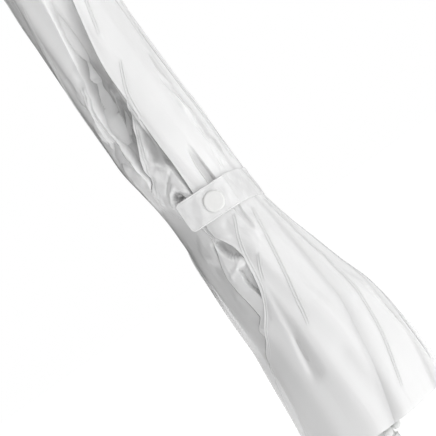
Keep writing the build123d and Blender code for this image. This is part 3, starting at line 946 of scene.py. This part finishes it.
def new_material(name):
    material = bpy.data.materials.new(name)
    material.use_nodes = True
    nodes = material.node_tree.nodes
    return material, nodes, material.node_tree.links, nodes["Principled BSDF"]


def map_range(nodes, links, value, before, after, smooth=False):
    """Output of a node that turns the range before into the range after."""
    node = nodes.new("ShaderNodeMapRange")
    if smooth:
        node.interpolation_type = "SMOOTHSTEP"
    for name, number in zip(("From Min", "From Max", "To Min", "To Max"), (*before, *after)):
        node.inputs[name].default_value = number
    links.new(value, node.inputs["Value"])
    return node.outputs["Result"]


def noise_texture(nodes, links, scale, detail, stretch=None):
    """Noise over the object's own space, which stretch squeezes along each axis."""
    place = nodes.new("ShaderNodeTexCoord").outputs["Object"]
    if stretch:
        mapping = nodes.new("ShaderNodeMapping")
        mapping.inputs["Scale"].default_value = stretch
        links.new(place, mapping.inputs["Vector"])
        place = mapping.outputs["Vector"]
    noise = nodes.new("ShaderNodeTexNoise")
    noise.inputs["Scale"].default_value = scale
    noise.inputs["Detail"].default_value = detail
    links.new(place, noise.inputs["Vector"])
    return noise.outputs["Fac"]


def base_colour(nodes, links, shader, value, start, dark, light):
    """Colours the surface from dark, at the start value, to light at 1."""
    ramp = nodes.new("ShaderNodeValToRGB")
    ramp.color_ramp.elements[0].position = start
    ramp.color_ramp.elements[0].color = (*dark, 1)
    ramp.color_ramp.elements[1].color = (*light, 1)
    links.new(value, ramp.inputs["Fac"])
    links.new(ramp.outputs["Color"], shader.inputs["Base Color"])


def uneven_surface(nodes, links, shader, noise, roughness, strength, distance):
    """Varies the roughness between two values and adds a fine bump."""
    links.new(map_range(nodes, links, noise, (0, 1), roughness), shader.inputs["Roughness"])
    bump = nodes.new("ShaderNodeBump")
    bump.inputs["Strength"].default_value = strength
    bump.inputs["Distance"].default_value = distance
    links.new(noise, bump.inputs["Height"])
    links.new(bump.outputs["Normal"], shader.inputs["Normal"])


def film_material(name, light, dark, roughness, alpha):
    material, nodes, links, shader = new_material(name)
    # Painted shade: the shade attribute darkens the film's base colour from light towards dark.
    shade = nodes.new("ShaderNodeAttribute")
    shade.attribute_name = "shade"
    base_colour(nodes, links, shader, shade.outputs["Fac"], DARKEST_PAINTED_SHADE, dark, light)
    noise = noise_texture(nodes, links, scale=160, detail=4, stretch=FILM_STRETCH)
    rough = (roughness - 0.06, roughness + 0.08)
    uneven_surface(nodes, links, shader, noise, rough, strength=0.12, distance=0.0006)
    shader.inputs["Alpha"].default_value = alpha
    shader.inputs["Coat Weight"].default_value = 0.8
    shader.inputs["Coat Roughness"].default_value = 0.18
    shader.inputs["IOR"].default_value = 1.45
    shader.inputs["Subsurface Weight"].default_value = 0.25
    shader.inputs["Subsurface Radius"].default_value = (1.0, 1.0, 1.0)
    shader.inputs["Subsurface Scale"].default_value = 0.004
    return material


def plastic_material(name, colour, roughness, grain=300):
    material, nodes, links, shader = new_material(name)
    noise = noise_texture(nodes, links, scale=grain, detail=5)
    dark = [c * 0.93 for c in colour]
    light = [min(1, c * 1.03) for c in colour]
    base_colour(nodes, links, shader, noise, 0.0, dark, light)
    rough = (roughness - 0.05, roughness + 0.07)
    uneven_surface(nodes, links, shader, noise, rough, strength=0.06, distance=0.0003)
    return material, shader


def steel_material():
    material, shader = plastic_material("steel", (0.62, 0.62, 0.63), 0.28, 700)
    shader.inputs["Metallic"].default_value = 1.0
    return material


# The second colour is the film's colour where its painted shade is deepest; the strap gets no painted shade.
film = film_material("film", (0.955, 0.955, 0.955), (0.5, 0.5, 0.5), 0.22, 0.95)
strap_film = film_material("strap_film", (0.91, 0.91, 0.91), (0.5, 0.5, 0.5), 0.26, 0.97)
white_plastic, _ = plastic_material("white_plastic", (0.84, 0.85, 0.84), 0.35)
snap_plastic, _ = plastic_material("snap_plastic", (0.87, 0.87, 0.86), 0.32)
handle_plastic, _ = plastic_material("handle_plastic", (0.84, 0.85, 0.85), 0.2, 120)
fibreglass, _ = plastic_material("fibreglass", (0.8, 0.8, 0.78), 0.4, 500)
FINISHES = {
    "steel": steel_material(),
    "rib_fibreglass": fibreglass,
    "rib_tip": white_plastic,
    "rib_joint": white_plastic,
    "white_plastic": white_plastic,
    "handle_plastic": handle_plastic,
    "snap_plastic": snap_plastic,
    "film": film,
    "strap_film": strap_film,
}
for subpart in frame["record"]["subparts"]:
    node = frame["nodes"][subpart["node"]]
    node.data.materials.clear()
    node.data.materials.append(FINISHES[subpart["material_slot"]])

for index, gore in enumerate(gather_gores()):
    make_gore(index + 1, gore, film)
make_straps()


# ---------------------------------------------------------------- floor and light
FLOOR_SIDE = 12.0              # half the floor's width
FLOOR_GAP = 0.0005             # how far the floor lies under the object
FLOOR_GLOW = 0.66
LIGHT_LEFT, LIGHT_RIGHT = 0.24, 0.74
LIGHT_SPREAD = (-0.8, 0.8)     # x of the directions between which the light goes from left to right
DARK_CARD = (-0.72, 0.69, 0.0)     # towards a dark card behind the object on the left
CARD_RIM = (0.35, 0.85)        # cosine of the angle to the card at its rim and where it is darkest
CARD_LIGHT = 0.08              # share of the light that is left there
KEY_PLACE, KEY_AIM = (1.0, -1.35, 0.25), (0, 0, 0.28)
KEY_SIZE, KEY_POWER = 2.2, 10.5


def make_floor():
    side = FLOOR_SIDE
    low = cad_box[0].z - FLOOR_GAP
    corners = [(-side, -side, low), (side, -side, low), (side, side, low), (-side, side, low)]
    mesh = bpy.data.meshes.new("floor")
    mesh.from_pydata(corners, [], [(0, 1, 2, 3)])
    floor = add_object("floor", mesh)
    material, shader = plastic_material("floor", (0.95, 0.95, 0.95), 0.85, 4)
    shader.inputs["Emission Color"].default_value = (1, 1, 1, 1)
    shader.inputs["Emission Strength"].default_value = FLOOR_GLOW
    mesh.materials.append(material)


def studio_strength(nodes, links):
    """How bright the world is as a light: bright on the right, dim on the left, with a dark card."""
    direction = nodes.new("ShaderNodeTexCoord").outputs["Generated"]
    split = nodes.new("ShaderNodeSeparateXYZ")
    links.new(direction, split.inputs["Vector"])
    spread = map_range(nodes, links, split.outputs["X"], LIGHT_SPREAD, (LIGHT_LEFT, LIGHT_RIGHT))
    facing = nodes.new("ShaderNodeVectorMath")
    facing.operation = "DOT_PRODUCT"
    facing.inputs[1].default_value = DARK_CARD
    links.new(direction, facing.inputs[0])
    card = map_range(nodes, links, facing.outputs["Value"], CARD_RIM, (1.0, CARD_LIGHT), smooth=True)
    both = nodes.new("ShaderNodeMath")
    both.operation = "MULTIPLY"
    links.new(spread, both.inputs[0])
    links.new(card, both.inputs[1])
    return both.outputs["Value"]


def make_world():
    """White to look at, and a studio as a light."""
    world = bpy.data.worlds.new("studio")
    bpy.context.scene.world = world
    world.use_nodes = True
    nodes, links = world.node_tree.nodes, world.node_tree.links
    shown = nodes["Background"]
    shown.inputs["Color"].default_value = (1, 1, 1, 1)
    shown.inputs["Strength"].default_value = 1.0
    light = nodes.new("ShaderNodeBackground")
    light.inputs["Color"].default_value = (1, 1, 1, 1)
    links.new(studio_strength(nodes, links), light.inputs["Strength"])
    path = nodes.new("ShaderNodeLightPath")
    mix = nodes.new("ShaderNodeMixShader")
    links.new(path.outputs["Is Camera Ray"], mix.inputs["Fac"])
    links.new(light.outputs["Background"], mix.inputs[1])
    links.new(shown.outputs["Background"], mix.inputs[2])
    links.new(mix.outputs["Shader"], nodes["World Output"].inputs["Surface"])


def area_light(name, place, aim, size, power):
    data = bpy.data.lights.new(name, "AREA")
    data.shape = "DISK"
    data.size = size
    data.energy = power
    light = add_object(name, data)
    direction = Vector(aim) - Vector(place)
    turn = direction.to_track_quat("-Z", "Y").to_matrix().to_4x4()
    light.matrix_world = Matrix.Translation(place) @ turn


make_floor()
make_world()
area_light("key", KEY_PLACE, KEY_AIM, KEY_SIZE, KEY_POWER)
bpy.context.scene.view_settings.view_transform = "Standard"
